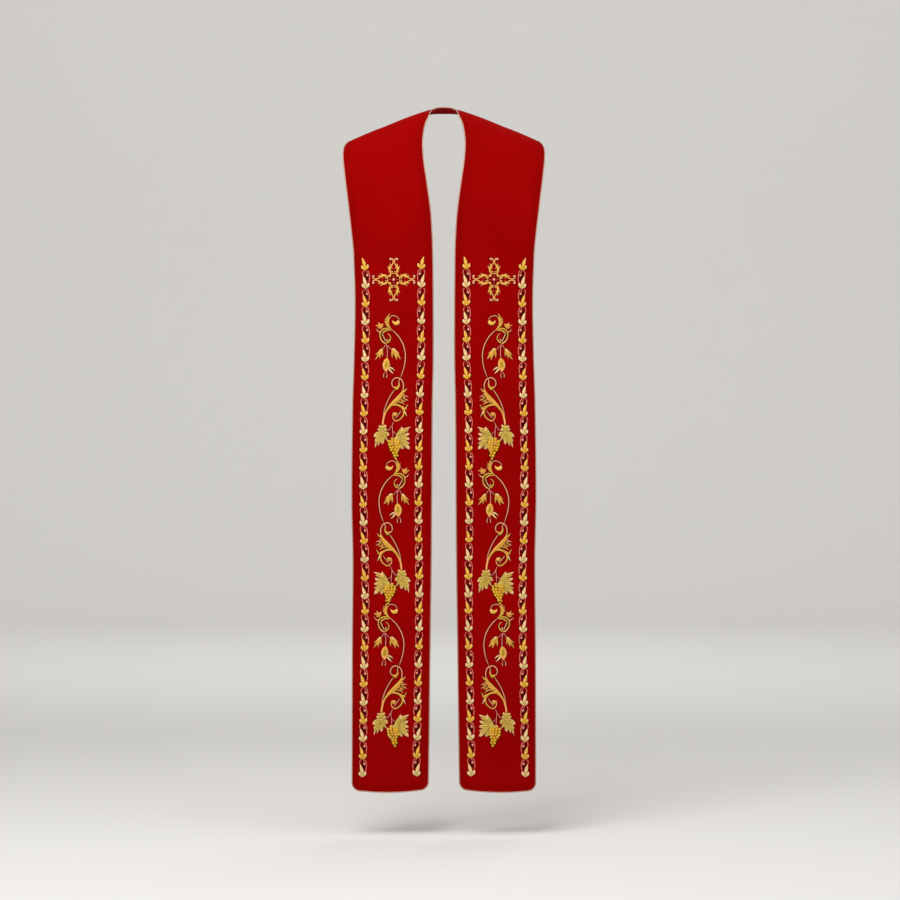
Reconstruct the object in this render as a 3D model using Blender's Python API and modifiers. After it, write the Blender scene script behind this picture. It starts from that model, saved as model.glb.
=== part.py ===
# A clergy stole, worn open down the front, on a general figure that isn't shown.
# Two mirrored halves meet in a seam at the nape. Each half hangs from its hem up the front,
# leans back over the chest, turns over the shoulder line and runs behind the neck to the seam.
# A round piping cord follows the whole edge of each half.
# The frame: +Z up, +X to the wearer's left, -Y to the front. The origin is the top of the nape.

import math
from collections import namedtuple

import bmesh
import bpy
from mathutils import Vector

MM = 0.001

CLOTH_THICKNESS = 2.4
PIPING_RADIUS = 1.3
SEAM_GAP = 0.3
# From the finished edge of the stole to the edge of its cloth, with the piping between them.
PIPING_INSET = 2 * PIPING_RADIUS + SEAM_GAP

# The shoulder line, seen from the front: it leaves the side of the neck and falls outwards.
RIDGE_Y = -30.0
NECK_SIDE_X = 22.9
NECK_SIDE_Z = -9.6
RIDGE_SLOPE = 0.352
RIDGE_BEND = 0.0004
RIDGE_ROUNDING = 20.0

# How the front leans over the chest: a quarter of an ellipse, from the shoulder line to the
# chest, with the outer edge further back than the inner one.
CHEST_DROP = 300.0
CHEST_FORWARD = 120.0
OUTER_EDGE_BACK = 14.0
OUTER_EDGE_BACK_AT_HEM = 7.0
CROWN = 3.0
SWAY = 2.5
SWAY_LENGTH = 520.0

# The hem is bowed, lowest a little outside its middle, and its two corners are rounded.
HEM_DROP = 1351.0
HEM_BOW = 5.0
HEM_BOW_SHIFT = 0.13
HEM_BOW_REACH = 110.0
HEM_CORNER = 16.0

# The part behind the shoulder line, seen from above.
NAPE_RISE = 5.75
NAPE_RISE_WIDTH = 34.0
# The outer edge at the nape droops, so that its lower line is straight from the front.
NAPE_DROOP = 4.6
NAPE_DROOP_HALF = 20.0
NAPE_DEPTH = 80.0
NECK_CURVATURE = 1 / 700
SHOULDER_CURVATURE = 1 / 65
CURVATURE_START_X = 32.0
CURVATURE_END_X = 140.0
BACK_EDGE = ((184.0, RIDGE_Y), (171.0, 14.0), (84.0, 54.0), (0.0, 50.0))

# Where the finished edges lie on each side of the middle, below the chest. Millimetres.
Hanging = namedtuple("Hanging", "drop inner outer")
HANGING = (
    Hanging(300, 20.0, 178.1),
    Hanging(394, 19.1, 175.2),
    Hanging(511, 19.1, 177.2),
    Hanging(600, 20.9, 179.8),
    Hanging(784, 22.0, 181.5),
    Hanging(901, 22.8, 179.3),
    Hanging(1057, 25.0, 180.3),
    Hanging(1252, 27.3, 180.7),
    Hanging(1360, 28.9, 180.9),
)
# The same above the chest, by the angle along the ellipse: 90 at the chest, 0 on the ridge.
Leaning = namedtuple("Leaning", "angle inner outer")
LEANING = (
    Leaning(0, 22.9, 184.0),
    Leaning(7, 23.4, 189.0),
    Leaning(14, 25.5, 194.0),
    Leaning(20, 29.1, 198.3),
    Leaning(28, 35.3, 200.4),
    Leaning(35, 38.6, 199.9),
    Leaning(42, 40.2, 198.2),
    Leaning(52, 37.6, 194.7),
    Leaning(64, 30.3, 189.5),
    Leaning(74, 24.2, 185.0),
    Leaning(84, 21.0, 180.4),
    Leaning(90, 20.0, 178.1),
)

COLUMNS = 10
HANGING_ROWS = 20
LEANING_ROWS = 22
BACK_ROWS = 12
CORNER_ROWS = 6

CLOTH_RED = (0.38, 0.004, 0.003)
PIPING_GOLD = (0.62, 0.38, 0.20)


def clear_scene():
    for item in list(bpy.data.objects):
        bpy.data.objects.remove(item)


def mix(low, high, share):
    return low + (high - low) * share


def smooth(share):
    share = min(1.0, max(0.0, share))
    return share * share * (3 - 2 * share)


def read(rows, column, at):
    """The value of a table's column at a value of its first column, on a smooth curve."""
    last = len(rows) - 1
    k = 0
    while k < last - 1 and rows[k + 1][0] < at:
        k += 1
    slopes = []
    for j in (k, k + 1):
        before, after = rows[max(0, j - 1)], rows[min(last, j + 1)]
        rise = getattr(after, column) - getattr(before, column)
        slopes.append(rise / (after[0] - before[0]))
    low, high = rows[k], rows[k + 1]
    step = high[0] - low[0]
    t = (at - low[0]) / step
    start, end = getattr(low, column), getattr(high, column)
    return (
        start * (1 + 2 * t) * (1 - t) ** 2
        + slopes[0] * step * t * (1 - t) ** 2
        + end * t * t * (3 - 2 * t)
        + slopes[1] * step * t * t * (t - 1)
    )


def ridge_z(x):
    """The height of the shoulder line, rounded where it crosses the middle."""
    out = math.hypot(x, RIDGE_ROUNDING) - math.hypot(NECK_SIDE_X, RIDGE_ROUNDING)
    return NECK_SIDE_Z - RIDGE_SLOPE * out - RIDGE_BEND * out * out


def back_z(x, y):
    """The height of the cloth behind the shoulder line."""
    behind = y - RIDGE_Y
    reach = (x - CURVATURE_START_X) / (CURVATURE_END_X - CURVATURE_START_X)
    curvature = mix(NECK_CURVATURE, SHOULDER_CURVATURE, smooth(reach))
    near_nape = math.exp(-((x / NAPE_RISE_WIDTH) ** 2))
    rise = NAPE_RISE * near_nape * smooth(behind / -RIDGE_Y)
    droop = NAPE_DROOP * (1 - (x / NAPE_DROOP_HALF) ** 2) * near_nape
    droop *= (behind / NAPE_DEPTH) ** 2
    return ridge_z(x) + rise - droop - curvature * behind * behind / 2


def back_edge(share):
    """The finished outer edge seen from above, a cubic from the ridge to the nape seam."""
    weights = (
        (1 - share) ** 3,
        3 * share * (1 - share) ** 2,
        3 * share * share * (1 - share),
        share**3,
    )
    return Vector([sum(w * p[axis] for w, p in zip(weights, BACK_EDGE)) for axis in (0, 1)])


def forward(across):
    """How far in front of the shoulder line the cloth hangs at the chest."""
    crown = CROWN * math.sin(math.pi * across)
    return CHEST_FORWARD - OUTER_EDGE_BACK * across + crown


def hem_inset(drop, bare):
    """How much narrower each side is at this drop, where the hem's corner is rounded."""
    into = drop - (HEM_DROP - HEM_CORNER)
    if into <= 0:
        return bare
    radius = HEM_CORNER - bare
    return HEM_CORNER - math.sqrt(max(0.0, radius * radius - into * into))


def hanging_point(drop, across):
    inner, outer = read(HANGING, "inner", drop), read(HANGING, "outer", drop)
    inset = hem_inset(drop, PIPING_INSET)
    x = mix(inner + inset, outer - inset, across)
    across = (x - inner - PIPING_INSET) / (outer - inner - 2 * PIPING_INSET)
    below = (drop - CHEST_DROP) / (HEM_DROP - CHEST_DROP)
    straighten = (OUTER_EDGE_BACK - OUTER_EDGE_BACK_AT_HEM) * across * smooth(below)
    sway = SWAY * below * math.sin(2 * math.pi * (drop - CHEST_DROP) / SWAY_LENGTH)
    bow = HEM_BOW * smooth((drop - HEM_DROP + HEM_BOW_REACH) / HEM_BOW_REACH)
    bow *= 1 - (2 * across - 1 - HEM_BOW_SHIFT) ** 2
    y = RIDGE_Y - forward(across) - straighten + sway * (0.4 + 0.6 * across)
    return Vector((x, y, -drop - bow))


def leaning_point(angle, across):
    inner = read(LEANING, "inner", angle) + PIPING_INSET
    outer = read(LEANING, "outer", angle) - PIPING_INSET
    on_ridge = mix(NECK_SIDE_X + PIPING_INSET, LEANING[0].outer - PIPING_INSET, across)
    top = ridge_z(on_ridge)
    turn = math.radians(angle)
    z = top - (top + CHEST_DROP) * (1 - math.cos(turn))
    y = RIDGE_Y - forward(across) * math.sin(turn)
    return Vector((mix(inner, outer, across), y, z))


def back_point(share, across):
    turn = math.radians(90 * share)
    neck = Vector((NECK_SIDE_X * math.cos(turn), RIDGE_Y * (1 - math.sin(turn))))
    edge = back_edge(share)
    way = (edge - neck).normalized()
    spot = (neck + way * PIPING_INSET).lerp(edge - way * PIPING_INSET, across)
    x = max(spot.x, SEAM_GAP)
    return Vector((x, spot.y, back_z(x, spot.y)))


def cloth_rows():
    """The rows of points of one half, from the hem to the nape seam."""
    columns = [k / COLUMNS for k in range(COLUMNS + 1)]
    radius = HEM_CORNER - PIPING_INSET
    corner_top = HEM_DROP - HEM_CORNER
    drops = [
        corner_top + radius * math.cos(math.radians(90 * k / CORNER_ROWS))
        for k in range(CORNER_ROWS + 1)
    ]
    drops += [
        mix(corner_top, CHEST_DROP, k / HANGING_ROWS) for k in range(1, HANGING_ROWS)
    ]
    rows = [[hanging_point(drop, across) for across in columns] for drop in drops]
    for k in range(LEANING_ROWS + 1):
        rows.append([leaning_point(90 * (1 - k / LEANING_ROWS), a) for a in columns])
    for k in range(1, BACK_ROWS + 1):
        rows.append([back_point(k / BACK_ROWS, across) for across in columns])
    return rows


def edge_loop(rows):
    """The cloth's edge, from the seam down the neck side, round the hem and back up to the
    seam, each point with another further inside the cloth."""
    above_corners = rows[CORNER_ROWS]
    insides = [above_corners] * CORNER_ROWS + rows[CORNER_ROWS:]
    neck_side = [(row[0], inside[1]) for row, inside in zip(rows, insides)]
    outer_side = [(row[-1], inside[-2]) for row, inside in zip(rows, insides)]
    hem = [(rows[0][k], above_corners[k]) for k in range(1, COLUMNS)]
    return neck_side[::-1] + hem + outer_side


def piping_path(rows):
    """The cord's centreline: the cloth's edge, moved out in the cloth's own plane."""
    loop = edge_loop(rows)
    move = PIPING_RADIUS + SEAM_GAP
    path = []
    for k, (point, inside) in enumerate(loop):
        before = loop[max(0, k - 1)][0]
        after = loop[min(len(loop) - 1, k + 1)][0]
        along = (after - before).normalized()
        inward = inside - point
        inward -= along * inward.dot(along)
        path.append(point - inward.normalized() * move)
    # The last bit of cord meets the seam squarely.
    square = Vector((SEAM_GAP, 0, 0))
    for end in (path[0], path[-1]):
        end.x = SEAM_GAP / 2 + square.x
    return [path[0] - square] + path + [path[-1] - square]


def mirrored(points, side):
    return [Vector((side * p.x, p.y, p.z)) * MM for p in points]


def material(name, colour, roughness, metallic):
    made = bpy.data.materials.new(name)
    made.use_nodes = True
    shader = made.node_tree.nodes["Principled BSDF"]
    shader.inputs["Base Color"].default_value = (*colour, 1)
    shader.inputs["Roughness"].default_value = roughness
    shader.inputs["Metallic"].default_value = metallic
    return made


def add_cloth(name, side, rows, look, collection, root):
    """One half of the stole: its rows as an open surface, given its thickness by Solidify."""
    shape = bmesh.new()
    grid = [[shape.verts.new(p) for p in mirrored(row, side)] for row in rows]
    for low, high in zip(grid, grid[1:]):
        for k in range(COLUMNS):
            corners = (low[k], low[k + 1], high[k + 1], high[k])
            shape.faces.new(corners if side > 0 else corners[::-1])
    mesh = bpy.data.meshes.new(name)
    shape.to_mesh(mesh)
    shape.free()
    mesh.shade_smooth()
    mesh.materials.append(look)
    half = bpy.data.objects.new(name, mesh)
    collection.objects.link(half)
    half.parent = root
    wall = half.modifiers.new("cloth thickness", "SOLIDIFY")
    wall.thickness = CLOTH_THICKNESS * MM
    wall.offset = 0


def add_piping(name, side, path, look, collection, root):
    """The cord sewn round one half, as a round tube."""
    curve = bpy.data.curves.new(name, "CURVE")
    curve.dimensions = "3D"
    curve.bevel_depth = PIPING_RADIUS * MM
    curve.bevel_resolution = 1
    curve.use_fill_caps = True
    line = curve.splines.new("POLY")
    line.points.add(len(path) - 1)
    for slot, point in zip(line.points, mirrored(path, side)):
        slot.co = (*point, 1)
    curve.materials.append(look)
    cord = bpy.data.objects.new(name, curve)
    collection.objects.link(cord)
    cord.parent = root


def main():
    clear_scene()
    collection = bpy.data.collections.new("clergy_stole")
    bpy.context.scene.collection.children.link(collection)
    root = bpy.data.objects.new("nape", None)
    collection.objects.link(root)
    red = material("red_cloth", CLOTH_RED, 0.85, 0.0)
    gold = material("gold_piping", PIPING_GOLD, 0.45, 0.35)
    rows = cloth_rows()
    path = piping_path(rows)
    for word, side in (("left", 1), ("right", -1)):
        add_cloth(f"stole_half_{word}", side, rows, red, collection, root)
        add_piping(f"piping_{word}", side, path, gold, collection, root)


main()
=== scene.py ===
import math
import random

import bmesh
import bpy
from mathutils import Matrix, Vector


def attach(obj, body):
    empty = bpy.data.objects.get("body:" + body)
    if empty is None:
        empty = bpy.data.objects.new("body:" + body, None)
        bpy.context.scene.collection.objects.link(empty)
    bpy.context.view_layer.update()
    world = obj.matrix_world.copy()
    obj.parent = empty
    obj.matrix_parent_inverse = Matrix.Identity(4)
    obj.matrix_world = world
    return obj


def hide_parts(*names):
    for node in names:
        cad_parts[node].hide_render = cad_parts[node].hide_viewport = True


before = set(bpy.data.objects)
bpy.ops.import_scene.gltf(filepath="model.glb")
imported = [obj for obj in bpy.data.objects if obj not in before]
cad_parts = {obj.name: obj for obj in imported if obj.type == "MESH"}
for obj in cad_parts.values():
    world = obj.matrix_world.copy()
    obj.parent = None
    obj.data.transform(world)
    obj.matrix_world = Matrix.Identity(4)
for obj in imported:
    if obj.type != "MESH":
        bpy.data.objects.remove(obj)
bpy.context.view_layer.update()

mm = 0.001  # lengths are in millimetres until a mesh is made, those of the lamps in metres

# The picture: the camera stands level in front, 6 m from the hanging cloth.
picture = {
    "clothPlane": -150.0,
    "distance": 6000.0,
    "mmPerPixel": 1.95,
    "pixels": 900,
    "middleX": 11.9,
    "middleZ": -686.6,
    "sensor": 36,
}

# a round studio: flat floor, soft curve, pale wall all the way round
studio = {
    "floorZ": -1440.0,
    "floorRadius": 7500.0,
    "curveRadius": 2000.0,
    "wallTop": 4000.0,
    "curveSteps": 16,
    "sides": 96,
    "paper": (0.78, 0.77, 0.75, 1),
    "paperRoughness": 0.9,
    "skyColour": (1.0, 0.985, 0.965, 1),
    "skyStrength": 0.53,
}

# The form of the stole, the same as that of the solids, but with its nape seam closed.
form = {
    "inset": 2.9,          # from the finished edge to the cloth's edge
    "seamHalfGap": 0.0,
    "ridgeY": -30.0,
    "neckX": 22.9,
    "neckZ": -9.6,
    "ridgeSlope": 0.352,
    "ridgeBend": 0.0004,
    "ridgeRounding": 20.0,
    "chestDrop": 300.0,
    "chestForward": 120.0,
    "outerBack": 14.0,
    "outerBackAtHem": 7.0,
    "crown": 3.0,
    "sway": 2.5,
    "swayAtNeck": 0.4,     # share of the sway that the inner edge has
    "swayLength": 520.0,
    "hemDrop": 1351.0,
    "hemBow": 5.0,
    "hemBowShift": 0.13,
    "hemBowReach": 110.0,
    "hemCorner": 16.0,
    "napeRise": 5.75,
    "napeRiseWidth": 34.0,
    "napeDroop": 4.6,
    "napeDroopHalf": 20.0,
    "napeDepth": 80.0,
    "neckCurvature": 1 / 700,
    "shoulderCurvature": 1 / 65,
    "curvatureStart": 32.0,
    "curvatureEnd": 140.0,
    "backEdge": ((184.0, -30.0), (171.0, 14.0), (84.0, 54.0), (0.0, 50.0)),
    # drop, inner edge, outer edge
    "hanging": (
        (300, 20.0, 178.1), (394, 19.1, 175.2), (511, 19.1, 177.2), (600, 20.9, 179.8),
        (784, 22.0, 181.5), (901, 22.8, 179.3), (1057, 25.0, 180.3), (1252, 27.3, 180.7),
        (1360, 28.9, 180.9),
    ),
    # angle over the chest, inner edge, outer edge
    "leaning": (
        (0, 22.9, 184.0), (7, 23.4, 189.0), (14, 25.5, 194.0), (20, 29.1, 198.3),
        (28, 35.3, 200.4), (35, 38.6, 199.9), (42, 40.2, 198.2), (52, 37.6, 194.7),
        (64, 30.3, 189.5), (74, 24.2, 185.0), (84, 21.0, 180.4), (90, 20.0, 178.1),
    ),
}


def mix(low, high, share):
    return low + (high - low) * share


def smooth(share):
    share = min(1.0, max(0.0, share))
    return share * share * (3 - 2 * share)


def bell(value):
    return math.exp(-value * value)


def readTable(rows, column, at):
    last = len(rows) - 1
    k = 0
    while k < last - 1 and rows[k + 1][0] < at:
        k += 1
    slopes = []
    for j in (k, k + 1):
        before, after = rows[max(0, j - 1)], rows[min(last, j + 1)]
        slopes.append((after[column] - before[column]) / (after[0] - before[0]))
    low, high = rows[k], rows[k + 1]
    step = high[0] - low[0]
    t = (at - low[0]) / step
    return (
        low[column] * (1 + 2 * t) * (1 - t) ** 2
        + slopes[0] * step * t * (1 - t) ** 2
        + high[column] * t * t * (3 - 2 * t)
        + slopes[1] * step * t * t * (t - 1)
    )


def ridgeZ(x):
    out = math.hypot(x, form["ridgeRounding"]) - math.hypot(form["neckX"], form["ridgeRounding"])
    return form["neckZ"] - form["ridgeSlope"] * out - form["ridgeBend"] * out * out


def backZ(x, y):
    behind = y - form["ridgeY"]
    reach = (x - form["curvatureStart"]) / (form["curvatureEnd"] - form["curvatureStart"])
    curvature = mix(form["neckCurvature"], form["shoulderCurvature"], smooth(reach))
    nearNape = bell(x / form["napeRiseWidth"])
    rise = form["napeRise"] * nearNape * smooth(behind / -form["ridgeY"])
    hollow = 1 - (x / form["napeDroopHalf"]) ** 2
    droop = form["napeDroop"] * hollow * nearNape * (behind / form["napeDepth"]) ** 2
    return ridgeZ(x) + rise - droop - curvature * behind * behind / 2


def backEdge(share):
    weights = ((1 - share) ** 3, 3 * share * (1 - share) ** 2, 3 * share * share * (1 - share), share ** 3)
    return Vector([sum(w * p[axis] for w, p in zip(weights, form["backEdge"])) for axis in (0, 1)])


def forward(across):
    return form["chestForward"] - form["outerBack"] * across + form["crown"] * math.sin(math.pi * across)


def hangingY(drop, across):
    below = (drop - form["chestDrop"]) / (form["hemDrop"] - form["chestDrop"])
    straighten = (form["outerBack"] - form["outerBackAtHem"]) * across * smooth(below)
    sway = form["sway"] * below * math.sin(2 * math.pi * (drop - form["chestDrop"]) / form["swayLength"])
    nearOuter = form["swayAtNeck"] + (1 - form["swayAtNeck"]) * across
    return form["ridgeY"] - forward(across) - straighten + sway * nearOuter


def hangingPoint(drop, across):
    inner, outer = readTable(form["hanging"], 1, drop), readTable(form["hanging"], 2, drop)
    bare = form["inset"]
    inset = bare
    into = drop - (form["hemDrop"] - form["hemCorner"])
    if into > 0:
        radius = form["hemCorner"] - bare
        inset = form["hemCorner"] - math.sqrt(max(0.0, radius * radius - into * into))
    x = mix(inner + inset, outer - inset, across)
    across = (x - inner - bare) / (outer - inner - 2 * bare)
    bow = form["hemBow"] * smooth((drop - form["hemDrop"] + form["hemBowReach"]) / form["hemBowReach"])
    bow *= 1 - (2 * across - 1 - form["hemBowShift"]) ** 2
    return Vector((x, hangingY(drop, across), -drop - bow))


def leaningPoint(angle, across):
    inner = readTable(form["leaning"], 1, angle) + form["inset"]
    outer = readTable(form["leaning"], 2, angle) - form["inset"]
    onRidge = mix(form["neckX"] + form["inset"], form["leaning"][0][2] - form["inset"], across)
    top = ridgeZ(onRidge)
    turn = math.radians(angle)
    z = top - (top + form["chestDrop"]) * (1 - math.cos(turn))
    return Vector((mix(inner, outer, across), form["ridgeY"] - forward(across) * math.sin(turn), z))


def backPoint(share, across):
    turn = math.radians(90 * share)
    neck = Vector((form["neckX"] * math.cos(turn), form["ridgeY"] * (1 - math.sin(turn))))
    edge = backEdge(share)
    way = (edge - neck).normalized()
    spot = (neck + way * form["inset"]).lerp(edge - way * form["inset"], across)
    x = max(spot.x, form["seamHalfGap"])
    return Vector((x, spot.y, backZ(x, spot.y)))


# Soft creases, given one by one. "along" is the distance up the strip from the hem; the chest
# begins at 1051, the shoulder line is near 1385 and the nape seam near 1495.
# A crease across the strip has a place "along" and a slant; one down it has a place "across".
creases = (
    {"along": 1330, "slant": 90, "width": 26, "depth": 1.3, "from": 0.05, "to": 0.75},
    {"along": 1250, "slant": 130, "width": 34, "depth": -1.2, "from": 0.25, "to": 1.0},
    {"along": 1165, "slant": -70, "width": 40, "depth": 1.0, "from": 0.0, "to": 0.7},
    {"along": 1000, "slant": 60, "width": 60, "depth": -0.9, "from": 0.2, "to": 1.0},
    {"along": 840, "slant": -50, "width": 52, "depth": 0.8, "from": 0.0, "to": 0.8},
    {"along": 640, "slant": 40, "width": 64, "depth": -0.9, "from": 0.1, "to": 1.0},
    {"along": 430, "slant": -60, "width": 58, "depth": 0.8, "from": 0.0, "to": 0.9},
    {"along": 230, "slant": 50, "width": 50, "depth": -0.8, "from": 0.2, "to": 1.0},
    {"along": 1440, "slant": 55, "width": 17, "depth": 1.5, "from": 0.1, "to": 1.0},
    {"along": 1482, "slant": 40, "width": 14, "depth": -1.5, "from": 0.0, "to": 0.9},
    {"along": 1520, "slant": 25, "width": 12, "depth": 1.2, "from": 0.15, "to": 1.0},
    {"across": 0.27, "drift": 0.06, "width": 0.13, "depth": -1.3, "from": 120, "to": 1010},
    {"across": 0.70, "drift": -0.08, "width": 0.15, "depth": -1.2, "from": -60, "to": 900},
    {"across": 0.50, "drift": 0.05, "width": 0.12, "depth": 1.1, "from": 380, "to": 1240},
    {"across": 0.84, "drift": -0.04, "width": 0.10, "depth": 0.9, "from": -80, "to": 560},
    {"across": 0.12, "drift": 0.03, "width": 0.10, "depth": 0.8, "from": -60, "to": 420},
)


# how a crease strays from a straight line, and how fast it fades at its ends
creaseLine = {"stray": 5, "strayWave": 7, "driftWave": 3.4, "driftStart": 9, "fade": 3}


def creaseDepth(along, across):
    depth = 0.0
    for crease in creases:
        if "along" in crease:
            middle = crease["along"] + crease["slant"] * (across - 0.5)
            middle += creaseLine["stray"] * math.sin(creaseLine["strayWave"] * across + crease["along"])
            near = bell((along - middle) / crease["width"])
            span = (across - crease["from"]) / (crease["to"] - crease["from"])
        else:
            span = (along - crease["from"]) / (crease["to"] - crease["from"])
            turn = creaseLine["driftWave"] * span + creaseLine["driftStart"] * crease["across"]
            near = bell((across - crease["across"] - crease["drift"] * math.sin(turn)) / crease["width"])
        if 0 < span < 1:
            ends = smooth(creaseLine["fade"] * span) * smooth(creaseLine["fade"] * (1 - span))
            depth += crease["depth"] * near * ends
    return depth


def linkPiece(piece):
    bpy.context.scene.collection.objects.link(piece)
    return piece


def feed(tree, node, feeds):
    # fills or links a node's inputs
    for key, value in feeds.items():
        if isinstance(value, bpy.types.NodeSocket):
            tree.links.new(value, node.inputs[key])
        else:
            node.inputs[key].default_value = value
    return node


def wire(tree, kind, feeds=None, **settings):
    # adds a node, with its options set before its inputs
    node = tree.nodes.new(kind)
    for name, value in settings.items():
        setattr(node, name, value)
    return feed(tree, node, feeds or {})


def maths(tree, operation, a, b=0.0):
    return wire(tree, "ShaderNodeMath", {0: a, 1: b}, operation=operation).outputs[0]


def times(tree, a, b):
    return maths(tree, "MULTIPLY", a, b)


def plus(tree, a, b):
    return maths(tree, "ADD", a, b)


def noise(tree, place, scale, detail):
    feeds = {"Vector": place, "Scale": scale, "Detail": detail}
    return wire(tree, "ShaderNodeTexNoise", feeds).outputs[0]


def objectNoise(tree, scale, detail):
    return noise(tree, wire(tree, "ShaderNodeTexCoord").outputs["Object"], scale, detail)


def attribute(tree, name):
    return wire(tree, "ShaderNodeAttribute", attribute_name=name).outputs["Fac"]


def mixColour(tree, share, low, high):
    return wire(tree, "ShaderNodeMix", {0: share, 6: low, 7: high}, data_type="RGBA").outputs[2]


def shaded(tree, colour, shade):
    return wire(tree, "ShaderNodeHueSaturation", {"Value": shade, "Color": colour}).outputs[0]


def relief(tree, height, strength, depth):
    feeds = {"Height": height, "Strength": strength, "Distance": depth * mm}
    return wire(tree, "ShaderNodeBump", feeds).outputs[0]


def spread(tree, value, low, high, toLow, toHigh):
    return wire(tree, "ShaderNodeMapRange", {"Value": value, "From Min": low, "From Max": high,
                                             "To Min": toLow, "To Max": toHigh}).outputs[0]


def addSocket(tree, name, kind, default=None, way="INPUT"):
    made = tree.interface.new_socket(name=name, in_out=way, socket_type="NodeSocket" + kind)
    if default is not None:
        made.default_value = default


def newMaterial(name):
    material = bpy.data.materials.new(name)
    material.use_nodes = True
    return material, material.node_tree, material.node_tree.nodes["Principled BSDF"]


stitchLook = {
    "pitch": 0.46,           # mm from one thread to the next
    "wanderScale": 240.0,    # noise by which threads stray from their row
    "patchScale": 95.0,      # noise by which they lie lighter or darker
    "threadShare": 0.45,
    "patchShare": 0.55,
    "rimBand": (0.12, 0.75),  # where the rim's colour begins and where it is full
    "shades": (0.84, 1.12),
    "shadeBand": (0.2, 0.8),  # of the noise that the shades are spread over
    "grooves": (0.95, 1.04),  # shade between the threads, and from half their height up
    "relief": 0.12,          # mm
    "reliefStrength": 0.6,
    "roughnessSpread": 0.05,
    "shine": 0.25,
    "shadowShine": 0.05,
}


def makeStitchGroup():
    # threads laid side by side across a stroke: how high each stands and how light it is
    tree = bpy.data.node_groups.new("satinStitch", "ShaderNodeTree")
    for name, value in (("Thread Pitch", 0.5), ("Slant", 0.35), ("Unevenness", 0.3)):
        addSocket(tree, name, "Float", value)
    for name in ("Height", "Shade"):
        addSocket(tree, name, "Float", way="OUTPUT")
    given = wire(tree, "NodeGroupInput").outputs
    stitch = wire(tree, "ShaderNodeUVMap", uv_map="stitch").outputs[0]
    place = wire(tree, "ShaderNodeSeparateXYZ", {0: stitch}).outputs
    slanted = times(tree, maths(tree, "ABSOLUTE", place[0]), given["Slant"])
    line = maths(tree, "DIVIDE", plus(tree, place[1], slanted), given["Thread Pitch"])
    wander = objectNoise(tree, stitchLook["wanderScale"], 1.0)
    line = plus(tree, line, times(tree, wander, given["Unevenness"]))
    wave = maths(tree, "SINE", times(tree, line, 2 * math.pi))
    number = maths(tree, "FLOOR", line)
    thread = wire(tree, "ShaderNodeTexWhiteNoise", {"W": number}, noise_dimensions="1D").outputs[0]
    thread = times(tree, thread, stitchLook["threadShare"])
    patch = times(tree, objectNoise(tree, stitchLook["patchScale"], 2.0), stitchLook["patchShare"])
    out = wire(tree, "NodeGroupOutput").inputs
    tree.links.new(maths(tree, "MULTIPLY_ADD", wave, 0.5), out["Height"])
    tree.links.new(plus(tree, thread, patch), out["Shade"])
    return tree


cloth = {
    "deepRed": (0.246, 0.0003, 0.0002, 1),
    "brightRed": (0.304, 0.0004, 0.0003, 1),
    "toneBand": (0.32, 0.68),  # the cloudiness over which one red turns into the other
    "cloudScale": 9.0,
    "slubScale": 0.9,
    "slubBand": (0.3, 0.7),
    "yarnPitch": 0.6,        # mm
    "grooves": (0.9, 1.04),  # shade between the yarns and on top of them
    "weaveRelief": 0.06,     # mm
    "reliefStrength": 0.5,
    "edgeShadeWidth": 20.0,    # mm, the band along each edge painted darker, as shade where the cloth turns away
    "paintedEdgeShade": 0.82,
    "roughness": 0.86,
    "roughnessSpread": 0.05,
    "shine": 0.02,
    "sheen": 0.04,
    "sheenRoughness": 0.45,
    "sheenTint": (0.55, 0.01, 0.01, 1),
}


def makeWeaveGroup():
    # a close plain weave on the cut pattern, with slubs and a soft cloudiness
    tree = bpy.data.node_groups.new("clothWeave", "ShaderNodeTree")
    for name, value in (("Yarn Pitch", 0.6), ("Slub Length", 14.0)):
        addSocket(tree, name, "Float", value)
    for name in ("Height", "Slub", "Cloud"):
        addSocket(tree, name, "Float", way="OUTPUT")
    given = wire(tree, "NodeGroupInput").outputs
    cut = wire(tree, "ShaderNodeUVMap", uv_map="cut").outputs[0]
    place = wire(tree, "ShaderNodeSeparateXYZ", {0: cut}).outputs
    pitch = given["Yarn Pitch"]
    turns = [times(tree, maths(tree, "DIVIDE", place[axis], pitch), math.pi) for axis in (0, 1)]
    squeeze = maths(tree, "DIVIDE", 1.0, given["Slub Length"])
    yarns, slubs = [], []
    for axis in (0, 1):
        crest = times(tree, maths(tree, "SINE", turns[axis]), maths(tree, "COSINE", turns[1 - axis]))
        yarns.append(maths(tree, "ABSOLUTE", crest))
        stretch = wire(tree, "ShaderNodeCombineXYZ", {axis: 1.0, 1 - axis: squeeze}).outputs[0]
        run = wire(tree, "ShaderNodeVectorMath", {0: cut, 1: stretch}, operation="MULTIPLY").outputs[0]
        slubs.append(noise(tree, run, cloth["slubScale"], 1.0))
    out = wire(tree, "NodeGroupOutput").inputs
    tree.links.new(maths(tree, "MAXIMUM", *yarns), out["Height"])
    tree.links.new(times(tree, plus(tree, *slubs), 0.5), out["Slub"])
    tree.links.new(objectNoise(tree, cloth["cloudScale"], 3.0), out["Cloud"])
    return tree


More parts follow.
